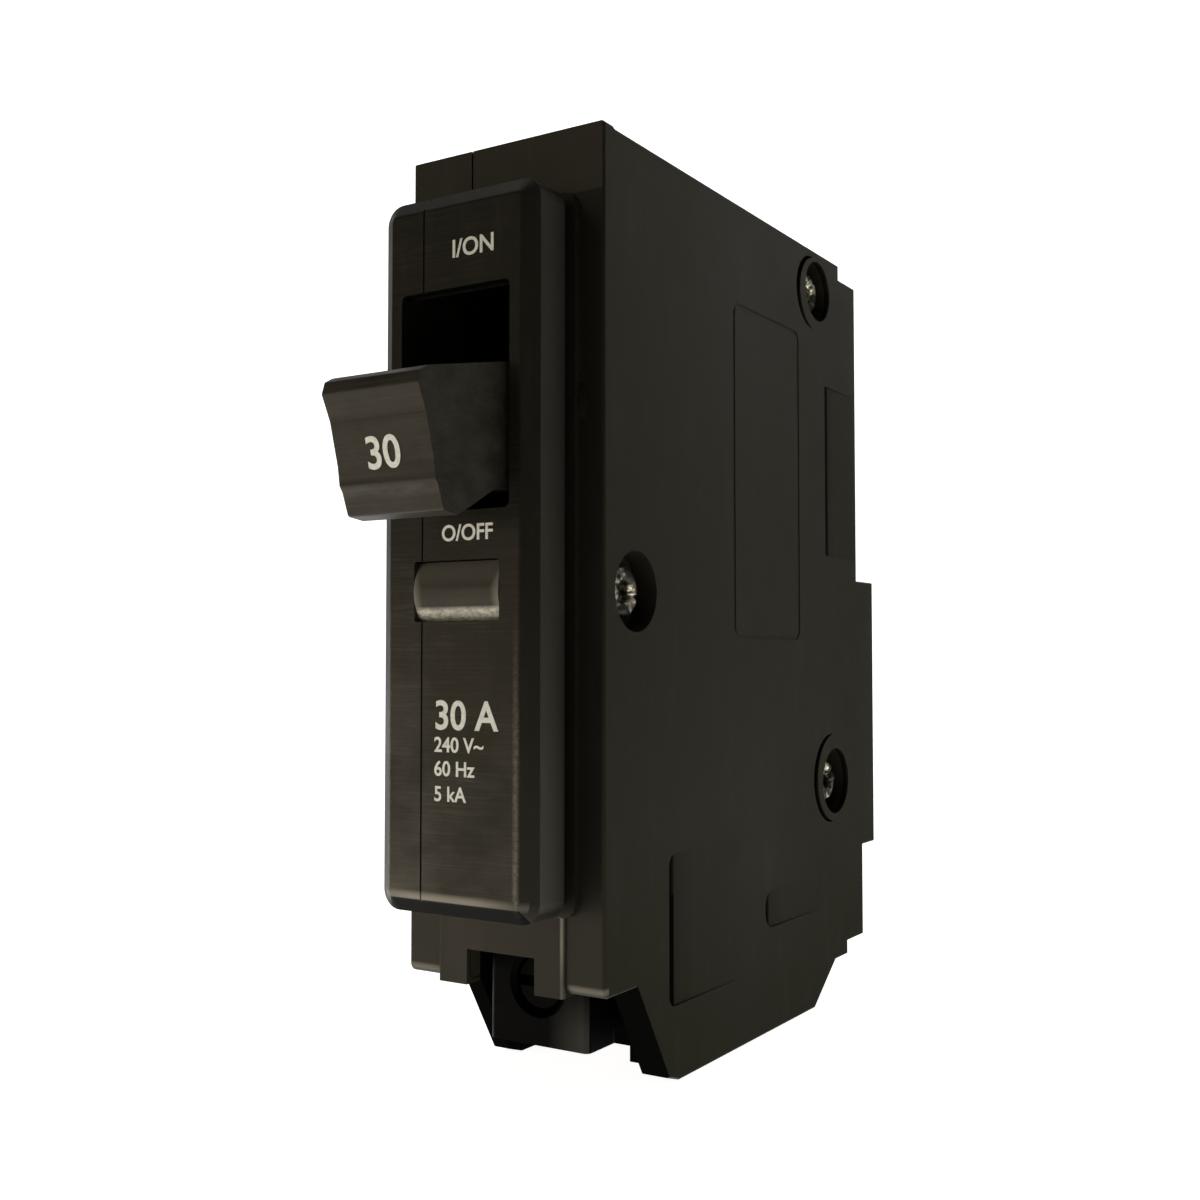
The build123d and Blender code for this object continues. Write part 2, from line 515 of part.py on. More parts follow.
def load_strap():
    """Plated strap: tongue in the lug, run below the mechanism, foot behind the bimetal."""
    top = STRAP_LOW + STRAP_THICK
    tongue = block(-STRAP_HALF_X, STRAP_HALF_X, 14.8, 14.8 + STRAP_THICK, 4.2, top)
    run = block(-STRAP_HALF_X, STRAP_HALF_X, 14.8, BIMETAL_Y1 + STRAP_THICK, STRAP_LOW, top)
    foot = block(-STRAP_HALF_X, STRAP_HALF_X, BIMETAL_Y1, BIMETAL_Y1 + STRAP_THICK, STRAP_LOW, 19.4)
    return tongue + run + foot


def rail_clip():
    """Sprung steel hook that holds the breaker on the panel's rail."""
    return side_plate([(43.2, 6.0), (43.2, 13.0), (50.5, 13.0), (52.3, 11.5), (51.8, 11.0),
                       (50.2, 12.3), (43.9, 12.3), (43.9, 6.0)], -5.0, 5.0)


os.makedirs("parts", exist_ok=True)

toggle = handle()
middle_y = (REAR_LOAD_Y + toggle.bounding_box().min.Y) / 2

whole = case()
save("case_base", whole & block(SEAM_X, 12, -20, 70, -5, 90))
save("case_cover", whole & block(-12, SEAM_X, -20, 70, -5, 90))
save("case_rivets", *[rivet(y, z) for y, z, _ in RIVETS])
save("handle", toggle)
save("contact_arm", contact_arm())
save("moving_contact", moving_contact())
save("fixed_contact", fixed_contact())
save("line_jaw", line_jaw())
save("jaw_spring", jaw_spring())
save("arc_plates", *[arc_plate(46.3 + 2.1 * i) for i in range(5)])
save("arc_cheeks", mirrored(block(5.2, 5.9, 28.4, 33.15, 45.4, 56.4)))
save("trip_lever", trip_lever())
save("trip_lever_pin", rod_x(LEVER_Y, LEVER_Z, LEVER_PIN_R, -8.5, 8.5))
save("main_spring", main_spring())
save("bimetal", block(-3.2, 3.2, BIMETAL_Y0, BIMETAL_Y1, 15.0, 39.0))
save("magnet_yoke", magnet_yoke())
save("armature", armature())
save("armature_pin", rod_x(*ARMATURE_PIN, ARMATURE_PIN_R, -5.6, 5.6))
save("armature_spring", coil((30.75, 28.0), (36.25, 28.0), 1.2, 0.2, 5))
save("flexible_braid", braid())
save("trip_flag", trip_flag())
save("window_lens", window_lens())
save("lug", lug())
save("lug_screw", lug_screw())
save("pressure_plate", block(-3.4, 3.4, PLATE_FRONT, PLATE_FRONT + 1.2, 4.2, 11.4))
save("load_strap", load_strap())
save("calibration_screw", rod_z(0, CAL_SCREW_Y, CAL_SCREW_R, 1.1, STRAP_LOW))
save("rail_clip", rail_clip())
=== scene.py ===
import json
import math
from functools import reduce

import bmesh
import bpy
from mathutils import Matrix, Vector


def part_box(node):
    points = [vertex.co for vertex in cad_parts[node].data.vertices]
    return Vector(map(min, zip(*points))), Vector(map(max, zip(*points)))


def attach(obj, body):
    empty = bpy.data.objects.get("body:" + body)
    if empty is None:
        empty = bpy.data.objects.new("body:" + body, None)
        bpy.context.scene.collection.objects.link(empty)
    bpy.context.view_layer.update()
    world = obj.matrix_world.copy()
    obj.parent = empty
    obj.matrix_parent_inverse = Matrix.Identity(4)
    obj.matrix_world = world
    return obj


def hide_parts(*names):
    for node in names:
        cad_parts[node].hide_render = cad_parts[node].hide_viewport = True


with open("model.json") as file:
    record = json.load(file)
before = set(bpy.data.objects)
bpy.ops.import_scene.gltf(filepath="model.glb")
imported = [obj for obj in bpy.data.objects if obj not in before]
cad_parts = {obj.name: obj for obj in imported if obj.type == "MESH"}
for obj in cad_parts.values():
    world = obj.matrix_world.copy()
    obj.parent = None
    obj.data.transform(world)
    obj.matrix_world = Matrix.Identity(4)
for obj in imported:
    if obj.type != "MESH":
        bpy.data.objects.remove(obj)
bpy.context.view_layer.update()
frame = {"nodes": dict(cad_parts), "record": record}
MM = 0.001

# Places taken from the frame, in metres.
CASE_LOW, CASE_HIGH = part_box("case_base")
NOSE_PROUD = 6.19 * MM                     # from the front wall to the front face of the nose
CASE_RISE = 76.1 * MM                      # top of the case above the zero of the part's own heights
HALF_W = CASE_HIGH[0]
NOSE_Y = CASE_LOW[1]                       # front face of the nose
FRONT_Y = NOSE_Y + NOSE_PROUD              # front wall of the case
HEIGHT = CASE_HIGH[2]
ZERO = HEIGHT - CASE_RISE                  # heights given in millimetres count from here


def height(millimetres):
    return ZERO + millimetres * MM


def behind(millimetres):
    """Y of a place behind the front wall."""
    return FRONT_Y + millimetres * MM


# ---------------------------------------------------------------- node helpers

class Nodes:
    """Short way to write a material's node tree."""

    def __init__(self, name):
        self.material = bpy.data.materials.new(name)
        self.material.use_nodes = True
        self.tree = self.material.node_tree
        self.shader = self.tree.nodes["Principled BSDF"]

    def add(self, kind, **inputs):
        node = self.tree.nodes.new(kind)
        for key, value in inputs.items():
            self.feed(node, key, value)
        return node

    def feed(self, node, key, value):
        socket = node.inputs[int(key[1:])] if key[0] == "i" and key[1:].isdigit() else node.inputs[key]
        if isinstance(value, bpy.types.NodeSocket):
            self.tree.links.new(value, socket)
        else:
            socket.default_value = value

    def set(self, key, value):
        self.feed(self.shader, key, value)

    def math(self, operation, a, b=0.0):
        node = self.add("ShaderNodeMath", i0=a, i1=b)
        node.operation = operation
        return node.outputs[0]

    def above(self, value, limit):
        return self.math("GREATER_THAN", value, limit)

    def below(self, value, limit):
        return self.math("LESS_THAN", value, limit)

    def size(self, value):
        return self.math("ABSOLUTE", value)

    def times(self, *factors):
        return reduce(lambda a, b: self.math("MULTIPLY", a, b), factors)

    def most(self, *values):
        return reduce(lambda a, b: self.math("MAXIMUM", a, b), values)

    def position(self, scale=(1, 1, 1)):
        """Object position, stretched: the CAD pieces' objects sit at the origin."""
        coordinates = self.add("ShaderNodeTexCoord").outputs["Object"]
        mapping = self.add("ShaderNodeMapping", Vector=coordinates, Scale=scale)
        return mapping.outputs["Vector"]

    def noise(self, scale, detail=3.0, rough=0.55, stretch=(1, 1, 1)):
        node = self.add("ShaderNodeTexNoise", Vector=self.position(stretch),
                        Scale=scale, Detail=detail, Roughness=rough)
        return node.outputs["Fac"]

    def ramp(self, factor, low, high, start=0.0, end=1.0):
        """Value that runs from low to high as the factor goes from start to end."""
        node = self.add("ShaderNodeMapRange", Value=factor)
        for key, value in (("From Min", start), ("From Max", end), ("To Min", low), ("To Max", high)):
            self.feed(node, key, value)
        return node.outputs["Result"]

    def band(self, value, centre, half, soft):
        """1 within a half width of the centre, fading to 0 over the soft width."""
        distance = self.size(self.math("SUBTRACT", value, centre))
        return self.ramp(distance, 1, 0, half, half + soft)

    def mix(self, factor, a, b):
        node = self.add("ShaderNodeMix")
        node.data_type = "RGBA"
        self.feed(node, "i0", factor)
        self.feed(node, "i6", a)
        self.feed(node, "i7", b)
        return node.outputs[2]

    def bump(self, height, strength, distance, normal=None):
        node = self.add("ShaderNodeBump", Height=height, Strength=strength, Distance=distance)
        if normal is not None:
            self.feed(node, "Normal", normal)
        return node.outputs["Normal"]


# ---------------------------------------------------------------- materials

class Surface:
    """Where a point of the surface lies, and which way it faces."""

    def __init__(self, n):
        place = n.add("ShaderNodeSeparateXYZ", Vector=n.position())
        self.x, self.y, self.z = (place.outputs[axis] for axis in "XYZ")
        normal = n.add("ShaderNodeNewGeometry").outputs["Normal"]
        facing = n.add("ShaderNodeSeparateXYZ", Vector=normal)
        self.nx, self.ny, self.nz = (facing.outputs[axis] for axis in "XYZ")


WARM_SHEEN = (1.0, 0.89, 0.68, 1)
BLACK_SHADE = (0.0030, 0.0030, 0.0028, 1)      # grooves, chamber and bevel, where no light comes back


def brushing(n, at, face):
    """Lines brushed into the nose's front face, and how far it is polished."""
    streaks = n.noise(900, 6, 0.80, (0.16, 1.0, 7.0))
    lighter_patch = n.ramp(n.noise(170, 3, 0.6, (0.8, 1.0, 1.3)), 0.25, 1.0, 0.42, 0.62)
    off_centre = n.size(n.math("ADD", at.x, 1.5 * MM))
    lines = n.times(n.ramp(streaks, 0, 1, 0.46, 0.74), face, lighter_patch,
                    n.ramp(at.z, 1.0, 0.35, height(34), height(56)),
                    n.ramp(off_centre, 1.0, 0.4, 3 * MM, 6 * MM))
    polished = n.times(n.ramp(at.z, 1, 0, height(15), height(44)),
                       n.ramp(at.x, 1, 0.35, -8 * MM, 3 * MM),
                       n.ramp(lighter_patch, 0.35, 1.0, 0.25, 1.0), face)
    return lines, polished


def edge_highlights(n, at):
    """Painted highlights, pale lines along edges: foot and sides of the nose's face, foot of the front
    wall, edge of its strip.
    """
    nose_foot, nose_left, nose_right = height(15.95), -6.55 * MM, 5.65 * MM
    wall_foot, strip_edge = height(8.95), 5.85 * MM
    on_nose = n.below(at.y, NOSE_Y + 0.45 * MM)
    on_wall = n.times(n.below(at.y, behind(0.65)), n.below(at.z, height(14.4)))
    speck = n.ramp(n.noise(2600, 3, 0.7), 0.35, 1, 0.40, 0.62)
    off_centre = n.size(n.math("ADD", at.x, 1.2 * MM))
    foot = n.times(on_nose, n.band(at.z, nose_foot, 0.08 * MM, 0.38 * MM),
                   n.ramp(off_centre, 0.9, 0.25, 3 * MM, 7 * MM))
    left = n.times(on_nose, n.band(at.x, nose_left, 0.05 * MM, 0.16 * MM),
                   n.ramp(at.z, 0.55, 0, height(26), height(40)), speck)
    right = n.times(on_nose, n.band(at.x, nose_right, 0.05 * MM, 0.30 * MM),
                    n.ramp(at.z, 0.45, 0, height(24), height(38)), speck)
    sill = n.times(on_wall, n.band(at.z, wall_foot, 0.10 * MM, 0.25 * MM),
                   n.ramp(n.size(at.x), 0, 0.5, 6.1 * MM, 6.5 * MM))
    strip = n.times(on_wall, n.below(at.y, FRONT_Y), n.band(at.x, strip_edge, 0.04 * MM, 0.14 * MM),
                    n.ramp(at.z, 0.35, 0.8, height(9.5), height(12)))
    return n.most(foot, left, right, sill, strip)


def terminal_chamber_shade(n, at):
    """Inner and slanted faces of the open lower end, which get painted shade: near black and dead matt."""
    deep = n.times(n.above(at.y, behind(1.4)), n.below(at.y, behind(19)))
    slanted = n.below(at.ny, -0.3)
    inner = n.below(n.size(at.x), HALF_W - 1.0 * MM)
    return n.times(deep, n.below(at.z, height(14.8)), n.most(slanted, inner))


def flank_groove_shade(n, at):
    """Painted shade in the grooves of the flanks' shallow recesses, by their depth below the flank."""
    depth = n.math("SUBTRACT", HALF_W, n.size(at.x))
    return n.times(n.ramp(depth, 0, 0.9, 0.10 * MM, 0.24 * MM), n.below(depth, 0.6 * MM),
                   n.above(at.y, behind(9)))


def flank_gloss(n, at):
    """Gloss of the side faces: on the case it grows with height and fades to the rear."""
    wall = n.math("ADD", n.math("POWER", n.ramp(at.z, 0, 1, ZERO, height(74)), 1.8), 0.04)
    wall = n.times(wall, n.ramp(at.y, 1.0, 0.45, behind(22), behind(48)))
    nose = n.ramp(at.z, 0.9, 2.8, ZERO, height(36))
    return n.ramp(n.below(at.y, FRONT_Y), wall, nose)


def moulded_black():
    """Warm black phenolic: fine grain, brushed lines on the nose, pale painted highlights along edges,
    olive flanks painted lighter as lit, and painted shade, near black and dead matt, in the terminal
    chamber, the flank grooves and the nose's lower bevel."""
    n = Nodes("moulded_black")
    at = Surface(n)
    patches = n.noise(70, 4)
    smears = n.noise(420, 4, 0.6, (1.0, 1.0, 0.25))
    grain = n.noise(4200, 2)
    front = n.below(at.ny, -0.9)
    nose_face = n.times(front, n.below(at.y, NOSE_Y + 0.5 * MM))
    brow = n.times(front, n.above(at.z, height(70.8)))
    flank = n.above(n.size(at.nx), 0.9)
    # painted shade on the nose's downward-facing lower bevel
    bevel_shade = n.times(n.below(at.nz, -0.5), n.below(at.y, NOSE_Y + 1 * MM))
    lines, polished = brushing(n, at, nose_face)
    edge_highlight = edge_highlights(n, at)
    chamber_shade_matt = terminal_chamber_shade(n, at)
    groove_shade = flank_groove_shade(n, at)

    plain = n.mix(patches, (0.0095, 0.0088, 0.0062, 1), (0.0150, 0.0138, 0.0100, 1))
    # flanks: olive tone, made lighter than the front faces as painted light
    olive_lit = n.mix(patches, (0.0165, 0.0155, 0.0086, 1), (0.0255, 0.0240, 0.0138, 1))
    tone = n.mix(n.times(flank, n.above(at.y, FRONT_Y)), plain, olive_lit)
    tone = n.mix(n.times(n.ramp(smears, 0, 1, 0.52, 0.72), 0.20), tone, (0.040, 0.036, 0.028, 1))
    tone = n.mix(n.times(lines, 0.80), tone, (0.105, 0.094, 0.072, 1))
    # painted highlights: pale lines along the edges
    tone = n.mix(n.times(edge_highlight, 0.65), tone, (0.40, 0.355, 0.28, 1))
    # painted shade: terminal chamber, flank grooves and the nose's lower bevel made near black
    n.set("Base Color", n.mix(n.most(chamber_shade_matt, groove_shade, n.times(bevel_shade, 0.9)), tone, BLACK_SHADE))

    roughness = n.math("SUBTRACT", n.ramp(patches, 0.36, 0.50, 0.3, 0.7), n.times(polished, 0.10))
    roughness = n.math("ADD", roughness, n.times(chamber_shade_matt, 0.4))
    n.set("Roughness", n.math("ADD", roughness, n.times(lines, 0.10)))

    gloss = n.math("ADD", n.ramp(nose_face, 0.20, 0.115), n.times(polished, 0.36))
    side = n.math("ADD", n.times(flank, flank_gloss(n, at)), n.math("SUBTRACT", 1.0, flank))
    n.set("Specular IOR Level", n.times(gloss, n.ramp(chamber_shade_matt, 1.0, 0.0), n.ramp(bevel_shade, 1.0, 0.15),
                                        n.ramp(groove_shade, 1.0, 0.2), n.ramp(brow, 1.0, 1.9), side))
    n.set("Specular Tint", WARM_SHEEN)
    n.set("Normal", n.bump(lines, 0.3, 0.00005, n.bump(grain, 0.22, 0.00004)))
    return n.material


def handle_plastic():
    """Brown-black moulding, dull and cloudy, with painted shade in the two creases of the handle's front.
    """
    n = Nodes("handle_plastic")
    at = Surface(n)
    clouds = n.noise(320, 6, 0.65, (0.6, 1.0, 1.6))
    grain = n.noise(5200, 2)
    streaks = n.noise(900, 4, 0.7, (0.1, 1.0, 6.0))
    front = n.below(n.size(at.nx), 0.5)
    upper_crease_shade = n.times(front, n.band(at.z, height(51.5), 0.05 * MM, 0.45 * MM))
    lower_crease_shade = n.times(front, n.band(at.z, height(47.05), 0.05 * MM, 0.25 * MM))
    ledge = n.times(front, n.band(at.z, height(46.35), 0.1 * MM, 0.5 * MM))
    tone = n.mix(n.ramp(clouds, 0, 1, 0.35, 0.65), (0.017, 0.0150, 0.0110, 1), (0.038, 0.034, 0.026, 1))
    tone = n.mix(n.ramp(streaks, 0, 0.5, 0.55, 0.8), tone, (0.075, 0.065, 0.050, 1))
    tone = n.mix(n.times(ledge, n.ramp(clouds, 0.1, 0.7, 0.35, 0.65)), tone, (0.095, 0.085, 0.068, 1))
    # painted shade in the two creases of the handle's front
    crease_shade = n.most(n.times(upper_crease_shade, 0.45), n.times(lower_crease_shade, 0.8))
    tone = n.mix(crease_shade, tone, (0.008, 0.007, 0.006, 1))
    n.set("Base Color", tone)
    n.set("Roughness", n.ramp(clouds, 0.42, 0.60, 0.3, 0.7))
    n.set("Specular IOR Level", 0.22)
    n.set("Specular Tint", WARM_SHEEN)
    n.set("Normal", n.bump(streaks, 0.25, 0.00008, n.bump(grain, 0.3, 0.00003)))
    return n.material


def metal(name, low, high, roughness, scale=700, stretch=(1, 1, 1), wear=0.5):
    """Metal with uneven tone, dull patches and fine tool marks."""
    n = Nodes(name)
    patches = n.noise(scale, 4, 0.6)
    marks = n.noise(4200, 3, 0.6, stretch)
    n.set("Metallic", 1.0)
    n.set("Base Color", n.mix(n.ramp(patches, 0, 1, 0.35, 0.65), (*low, 1), (*high, 1)))
    n.set("Roughness", n.ramp(patches, roughness, roughness + 0.2, 0.35, 0.7))
    n.set("Normal", n.bump(marks, wear, 0.00003))
    return n.material


def rolled_zinc():
    """Zinc, dark all over, with scattered bright, smoother specks."""
    n = Nodes("rolled_zinc")
    spots = n.noise(750, 2, 0.5)
    pits = n.noise(5200, 3, 0.6)
    bright = n.times(n.ramp(spots, 0, 1, 0.47, 0.58), n.ramp(pits, 0.35, 1, 0.35, 0.6))
    n.set("Metallic", 1.0)
    n.set("Base Color", n.mix(bright, (0.055, 0.052, 0.042, 1), (0.86, 0.80, 0.62, 1)))
    n.set("Roughness", n.ramp(bright, 0.42, 0.22))
    n.set("Normal", n.bump(pits, 0.6, 0.00004))
    return n.material


def shade_dark_steel():
    """Near-black steel, its darkness painted shade, with a painted pool of light at the lug's lower right
    corner.
    """
    n = Nodes("shade_dark_steel")
    patches = n.noise(420, 4, 0.6)
    marks = n.noise(4200, 3, 0.6)
    at = Surface(n)
    # painted pool of light at the lug's lower right corner; the near-black tone elsewhere stands in for
    # shade
    lighter_patch = n.times(n.ramp(at.x, 0, 1, 1.0 * MM, 4.6 * MM), n.ramp(at.z, 1, 0, height(3.6), height(7.6)),
                   n.below(at.y, behind(5.2)))
    n.set("Metallic", 1.0)
    tone = n.mix(patches, (0.0012, 0.0011, 0.0010, 1), (0.0034, 0.0032, 0.0027, 1))
    n.set("Base Color", n.mix(lighter_patch, tone, (0.034, 0.031, 0.026, 1)))
    n.set("Roughness", n.ramp(patches, 0.40, 0.58, 0.35, 0.7))
    n.set("Specular IOR Level", 0.1)
    n.set("Normal", n.bump(marks, 0.5, 0.00003))
    return n.material


def clear_lens():
    """Smoke-tinted moulding: painted highlights along its side and top edges, and a frosted band at the
    lower end painted pale as a reflection.
    """
    n = Nodes("clear_lens")
    haze = n.noise(300, 4)
    speckle = n.noise(3200, 5, 0.7, (0.7, 1.0, 1.0))
    wipe = n.noise(500, 4, 0.7, (0.3, 1.0, 5.0))
    at = Surface(n)
    low, high = height(37.15), height(41.75)
    # painted highlights along the lens's side and top edges
    side = n.ramp(n.size(at.x), 0, 1, 3.3 * MM, 4.05 * MM)
    top = n.ramp(at.z, 0, 0.75, high - 2.0 * MM, high - 0.3 * MM)
    # frosted band, its pale colour painted as a reflection
    frost_and_reflection = n.ramp(at.z, 1, 0, low + 0.75 * MM, low + 1.15 * MM)
    tone = n.mix(haze, (0.034, 0.030, 0.023, 1), (0.052, 0.046, 0.036, 1))
    tone = n.mix(n.times(n.most(side, top), 0.55), tone, (0.330, 0.290, 0.220, 1))
    bright = n.mix(n.ramp(speckle, 0, 1, 0.35, 0.65), (0.34, 0.305, 0.24, 1), (0.84, 0.80, 0.66, 1))
    n.set("Base Color", n.mix(frost_and_reflection, tone, bright))
    n.set("Roughness", n.ramp(wipe, 0.26, 0.42, 0.3, 0.7))
    n.set("Specular IOR Level", 0.10)
    n.set("Specular Tint", (1.0, 0.90, 0.72, 1))
    n.set("Transmission Weight", 0.15)
    n.set("IOR", 1.49)
    n.set("Normal", n.bump(n.times(speckle, frost_and_reflection), 0.3, 0.00006, n.bump(haze, 0.06, 0.00005)))
    return n.material


def fibre():
    """Red-brown vulcanised fibre sheet."""
    n = Nodes("fibre")
    strands = n.noise(1800, 5, 0.7, (1, 1, 5))
    n.set("Base Color", n.mix(strands, (0.20, 0.045, 0.03, 1), (0.36, 0.10, 0.06, 1)))
    n.set("Roughness", n.ramp(strands, 0.6, 0.8))
    n.set("Normal", n.bump(strands, 0.3, 0.00005))
    return n.material


def indicator():
    """Flag barrel: dark grey towards the window at rest, signal red behind."""
    n = Nodes("indicator")
    speck = n.noise(2500, 2)
    low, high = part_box("trip_flag")
    middle = (low[2] + high[2]) / 2
    red = n.above(Surface(n).z, middle + 1.2 * MM)
    n.set("Base Color", n.mix(red, (0.070, 0.064, 0.055, 1), (0.42, 0.03, 0.02, 1)))
    n.set("Roughness", n.ramp(speck, 0.35, 0.5))
    n.set("Normal", n.bump(speck, 0.1, 0.00003))
    return n.material


def print_ink():
    """Warm white pad print."""
    n = Nodes("print_ink")
    fade = n.noise(2600, 4, 0.7)
    n.set("Base Color", n.mix(n.ramp(fade, 0, 1, 0.3, 0.55), (0.62, 0.60, 0.50, 1), (0.80, 0.77, 0.66, 1)))
    n.set("Roughness", n.ramp(fade, 0.55, 0.75))
    n.set("Normal", n.bump(fade, 0.15, 0.00002))
    return n.material


black = moulded_black()
dull_handle = handle_plastic()
ink = print_ink()
zinc = metal("zinc_plate", (0.10, 0.092, 0.072), (0.80, 0.74, 0.58), 0.24, scale=1100)
rolled = rolled_zinc()
steel = metal("pressed_steel", (0.22, 0.22, 0.22), (0.42, 0.42, 0.41), 0.3)
spring = metal("spring_steel", (0.16, 0.16, 0.17), (0.34, 0.34, 0.35), 0.28, stretch=(8, 1, 1))
copper = metal("copper", (0.60, 0.27, 0.15), (0.86, 0.46, 0.30), 0.24)
silver = metal("silver", (0.62, 0.60, 0.56), (0.88, 0.86, 0.82), 0.22)
bimetal = metal("bimetal", (0.34, 0.30, 0.25), (0.52, 0.47, 0.40), 0.3, stretch=(1, 1, 9))
shade_dark_metal = shade_dark_steel()

FINISH = {
    "black_thermoset": black, "handle_plastic": dull_handle, "clear_lens": clear_lens(),
    "indicator_plastic": indicator(), "zinc_plated_steel": zinc, "soft_steel": steel,
    "spring_steel": spring, "copper": copper, "silver_contact": silver, "bimetal_strip": bimetal,
    "fibre": fibre(), "tinned_braid": copper, "lug_metal": shade_dark_metal,
}
for part in frame["record"]["subparts"]:
    node = frame["nodes"][part["node"]]
    node.data.materials.clear()
    node.data.materials.append(FINISH[part["material_slot"]])


# ---------------------------------------------------------------- pieces

def add_piece(name, data):
    piece = bpy.data.objects.new(name, data)
    bpy.context.scene.collection.objects.link(piece)
    return piece


def legend(name, words, size, place, body, tilt=0.0):
    """Pad-printed words: flat letters a few hundredths of a millimetre thick."""
    curve = bpy.data.curves.new(name, "FONT")
    curve.body = words
    curve.size = size * MM
    curve.offset = 0.018 * size * MM
    curve.extrude = 0.012 * MM
    curve.resolution_u = 6
    text = add_piece(name, curve)
    bpy.context.view_layer.update()
    mesh = bpy.data.meshes.new_from_object(text)
    bpy.data.objects.remove(text)
    piece = add_piece(name, mesh)
    piece.data.materials.clear()
    piece.data.materials.append(ink)
    piece.location = place
    piece.rotation_euler = (math.pi / 2 + tilt, 0, 0)
    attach(piece, body)


# x of the left end, height of the base line (mm), letter size (mm), words
FRONT_LEGENDS = {
    "legend_on": (-0.55, 65.26, 1.95, "I/ON"),
    "legend_off": (-1.40, 43.31, 1.72, "O/OFF"),
    "legend_current": (-2.03, 28.89, 3.1, "30 A"),
    "legend_voltage": (-2.03, 27.15, 1.6, "240 V~"),
    "legend_frequency": (-2.03, 25.33, 1.6, "60 Hz"),
    "legend_capacity": (-2.03, 23.40, 1.6, "5 kA"),
}
for name, (x, z, size, words) in FRONT_LEGENDS.items():
    legend(name, words, size, (x * MM, NOSE_Y - 0.01 * MM, height(z)), "case")

HANDLE_FACE_TILT = math.radians(14)
legend("legend_handle", "30", 3.3, (-1.62 * MM, behind(-14.42), height(47.95)), "handle", HANDLE_FACE_TILT)


RIVET_PLACES = ((4.8, 39.6), (41.3, 71.9), (45.2, 21.6))    # behind the front wall, height (mm)
RIVET_SEAT, RIVET_SHANK_R, RIVET_BORE_R = 7.5, 1.65, 0.9
ROLL_RING_R, ROLL_R, ROLL_STEPS = 1.5, 0.62, 16
RIVET_BORE_DEPTH = 2.8
RIVET_STEPS = 72                                            # round one ring


def rivet_profile():
    """Half outline of a rivet's end: bore, rolled rim, shank, as radius and place along the axis."""
    crest = RIVET_SEAT + ROLL_R
    profile = [(0.0, crest - RIVET_BORE_DEPTH), (RIVET_BORE_R, crest - RIVET_BORE_DEPTH)]
    for i in range(ROLL_STEPS + 1):
        turn = math.radians(180 - 220 * i / ROLL_STEPS)
        profile.append((ROLL_RING_R + ROLL_R * math.cos(turn), crest + ROLL_R * math.sin(turn)))
    return profile + [(RIVET_SHANK_R, RIVET_SEAT - 0.02), (RIVET_SHANK_R, 0.0)]


def rivet_ring(mesh, place, side, phase, radius, along):
    """One ring of vertices, lumpy and split where it lies on the rolled rim."""
    y, z = place
    raised = max(0.0, along - RIVET_SEAT)
    ring = []
    for k in range(RIVET_STEPS):
        angle = math.tau * k / RIVET_STEPS
        lumps = (0.5 * math.sin(5 * angle + phase) + 0.3 * math.sin(9 * angle + 2.1 * phase)
                 + 0.2 * math.sin(14 * angle + 0.6 * phase))
        split = max(0.0, math.cos(3 * angle + phase)) ** 24
        r = radius + 0.10 * raised * lumps * (radius > RIVET_BORE_R)
        x = along - raised * (0.10 + 0.10 * lumps + 0.30 * split)
        ring.append(mesh.verts.new((side * x * MM, behind(y + r * math.cos(angle)),
                                    height(z + r * math.sin(angle)))))
    return ring


def rivet_mesh():
    """The three rivets, turned about their axes, with the uneven rims of a rolled semi-tubular end."""
    mesh = bmesh.new()
    for index, place in enumerate(RIVET_PLACES):
        for side in (-1, 1):
            phase = 1.9 * index + 0.7 * side
            rings = [rivet_ring(mesh, place, side, phase, *point) for point in rivet_profile()]
            for a, b in zip(rings, rings[1:]):
                for k in range(RIVET_STEPS):
                    after = (k + 1) % RIVET_STEPS
                    mesh.faces.new((a[k], a[after], b[after], b[k]))
    bmesh.ops.remove_doubles(mesh, verts=mesh.verts, dist=1e-7)
    bmesh.ops.recalc_face_normals(mesh, faces=mesh.faces)
    data = bpy.data.meshes.new("rolled_rivets")
    mesh.to_mesh(data)
    mesh.free()
    for face in data.polygons:
        face.use_smooth = True
    return data


rivets = add_piece("rolled_rivets", rivet_mesh())
rivets.data.materials.append(rolled)
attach(rivets, "case")
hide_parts("case_rivets")


# ---------------------------------------------------------------- stage

def paper():
    """White backdrop paper that glows, dimmed on the side and in front, where it would light the flank."""
    n = Nodes("backdrop_paper")
    at = Surface(n)
    right = n.ramp(at.x, 1.0, 0.08, 0.068, 0.16)
    near = n.ramp(at.y, 1.0, 0.08, -0.065, -0.17)
    n.set("Base Color", (0.93, 0.93, 0.93, 1))
    n.set("Roughness", 0.9)
    n.set("Specular IOR Level", 0.0)
    n.set("Emission Color", (1, 1, 1, 1))
    n.set("Emission Strength", n.times(0.95, n.times(right, near)))
    return n.material


def backdrop():
    """Pale floor that curves up into a wall behind the object."""
    radius, depth, width, wall, front, steps = 0.25, 0.45, 1.6, 0.9, -1.2, 12
    profile = [(front, 0.0), (depth, 0.0)]
    for i in range(1, steps + 1):
        turn = math.radians(90 * i / steps)
        profile.append((depth + radius * math.sin(turn), radius * (1 - math.cos(turn))))
    profile.append((depth + radius, wall))
    mesh = bpy.data.meshes.new("backdrop")
    points = [(side * width, y, z) for y, z in profile for side in (-1, 1)]
    faces = [(2 * i, 2 * i + 1, 2 * i + 3, 2 * i + 2) for i in range(len(profile) - 1)]
    mesh.from_pydata(points, [], faces)
    sheet = add_piece("backdrop", mesh)
    for face in mesh.polygons:
        face.use_smooth = True
    mesh.materials.append(paper())


WARM, WARMER, WARMEST = (1.0, 0.92, 0.80), (1.0, 0.90, 0.76), (1.0, 0.90, 0.74)
FOOT = (0, -0.02, 0.025)
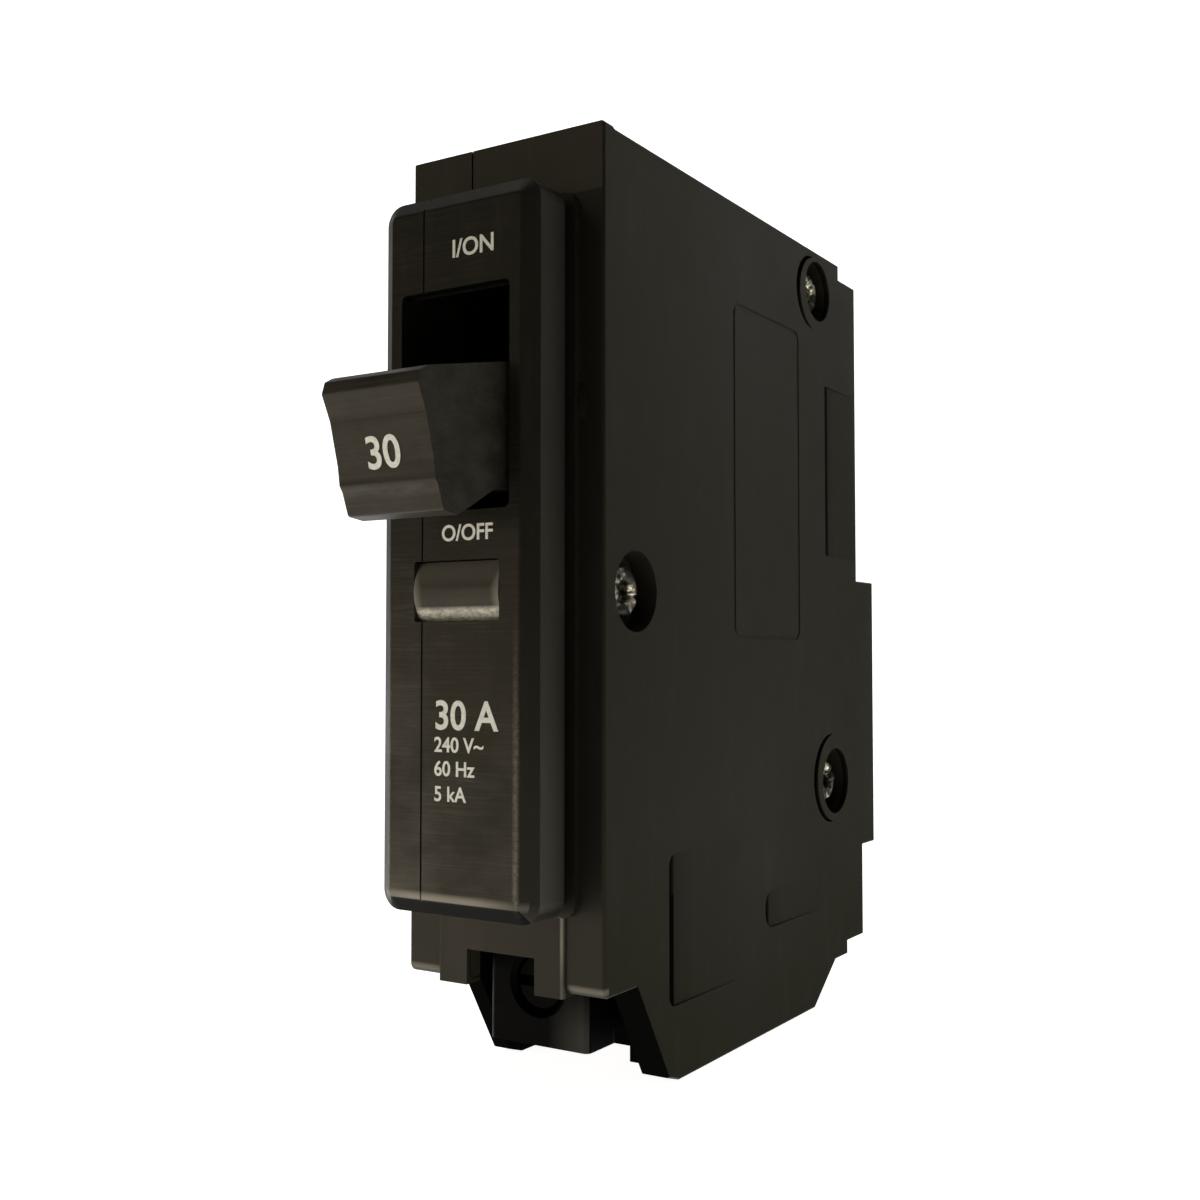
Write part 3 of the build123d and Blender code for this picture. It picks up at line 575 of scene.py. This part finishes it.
# place, target, size (m), power (W), colour
LAMPS = {
    "key": ((-0.24, -0.33, 0.045), FOOT, (0.22, 0.08), 0.16, WARMER),
    "front": ((-0.20, -0.50, 0.22), (0, 0, 0.04), (0.12, 0.30), 0.16, WARM),
    "glint": ((-0.060, -0.105, 0.006), (-0.003, -0.026, 0.014), (0.05, 0.008), 0.007, WARMEST),
    "top": ((-0.05, 0.05, 0.60), FOOT, (0.5, 0.5), 0.35, (1, 1, 1)),
}


def area_light(name, place, target, size, power, colour):
    data = bpy.data.lights.new(name, "AREA")
    data.shape = "RECTANGLE"
    data.size, data.size_y = size
    data.energy = power
    data.color = colour
    lamp = add_piece(name, data)
    lamp.location = place
    lamp.rotation_euler = (Vector(target) - Vector(place)).to_track_quat("-Z", "Y").to_euler()


def room():
    """Dim in front of the object, brighter behind it."""
    world = bpy.data.worlds.new("studio")
    bpy.context.scene.world = world
    world.use_nodes = True
    tree = world.node_tree
    background = tree.nodes["Background"]
    direction = tree.nodes.new("ShaderNodeTexCoord").outputs["Generated"]
    split = tree.nodes.new("ShaderNodeSeparateXYZ")
    tree.links.new(direction, split.inputs[0])
    level = tree.nodes.new("ShaderNodeMapRange")
    for key, value in (("From Min", -0.2), ("From Max", 0.8), ("To Min", 0.045), ("To Max", 0.75)):
        level.inputs[key].default_value = value
    tree.links.new(split.outputs["Y"], level.inputs["Value"])
    tree.links.new(level.outputs["Result"], background.inputs["Strength"])
    background.inputs["Color"].default_value = (1.0, 0.98, 0.92, 1)


def studio():
    """Low warm key light and a glint at the front left, a tall light in front, a weak one above."""
    room()
    for name, settings in LAMPS.items():
        area_light(name, *settings)


def camera():
    """The photograph's viewing angle: from the right and front, just below mid height."""
    data = bpy.data.cameras.new("camera")
    data.lens = 41.44
    data.sensor_width = 36.0
    data.clip_start = 0.005
    seat = add_piece("camera", data)
    seat.location = (0.06557, FRONT_Y - 0.08948, HEIGHT - 0.04172)
    tilt_up, turn = 2.37, 32.24
    seat.rotation_euler = (math.radians(90 + tilt_up), 0, math.radians(turn))
    bpy.context.scene.camera = seat


backdrop()
studio()
camera()
bpy.context.scene.view_settings.view_transform = "Standard"
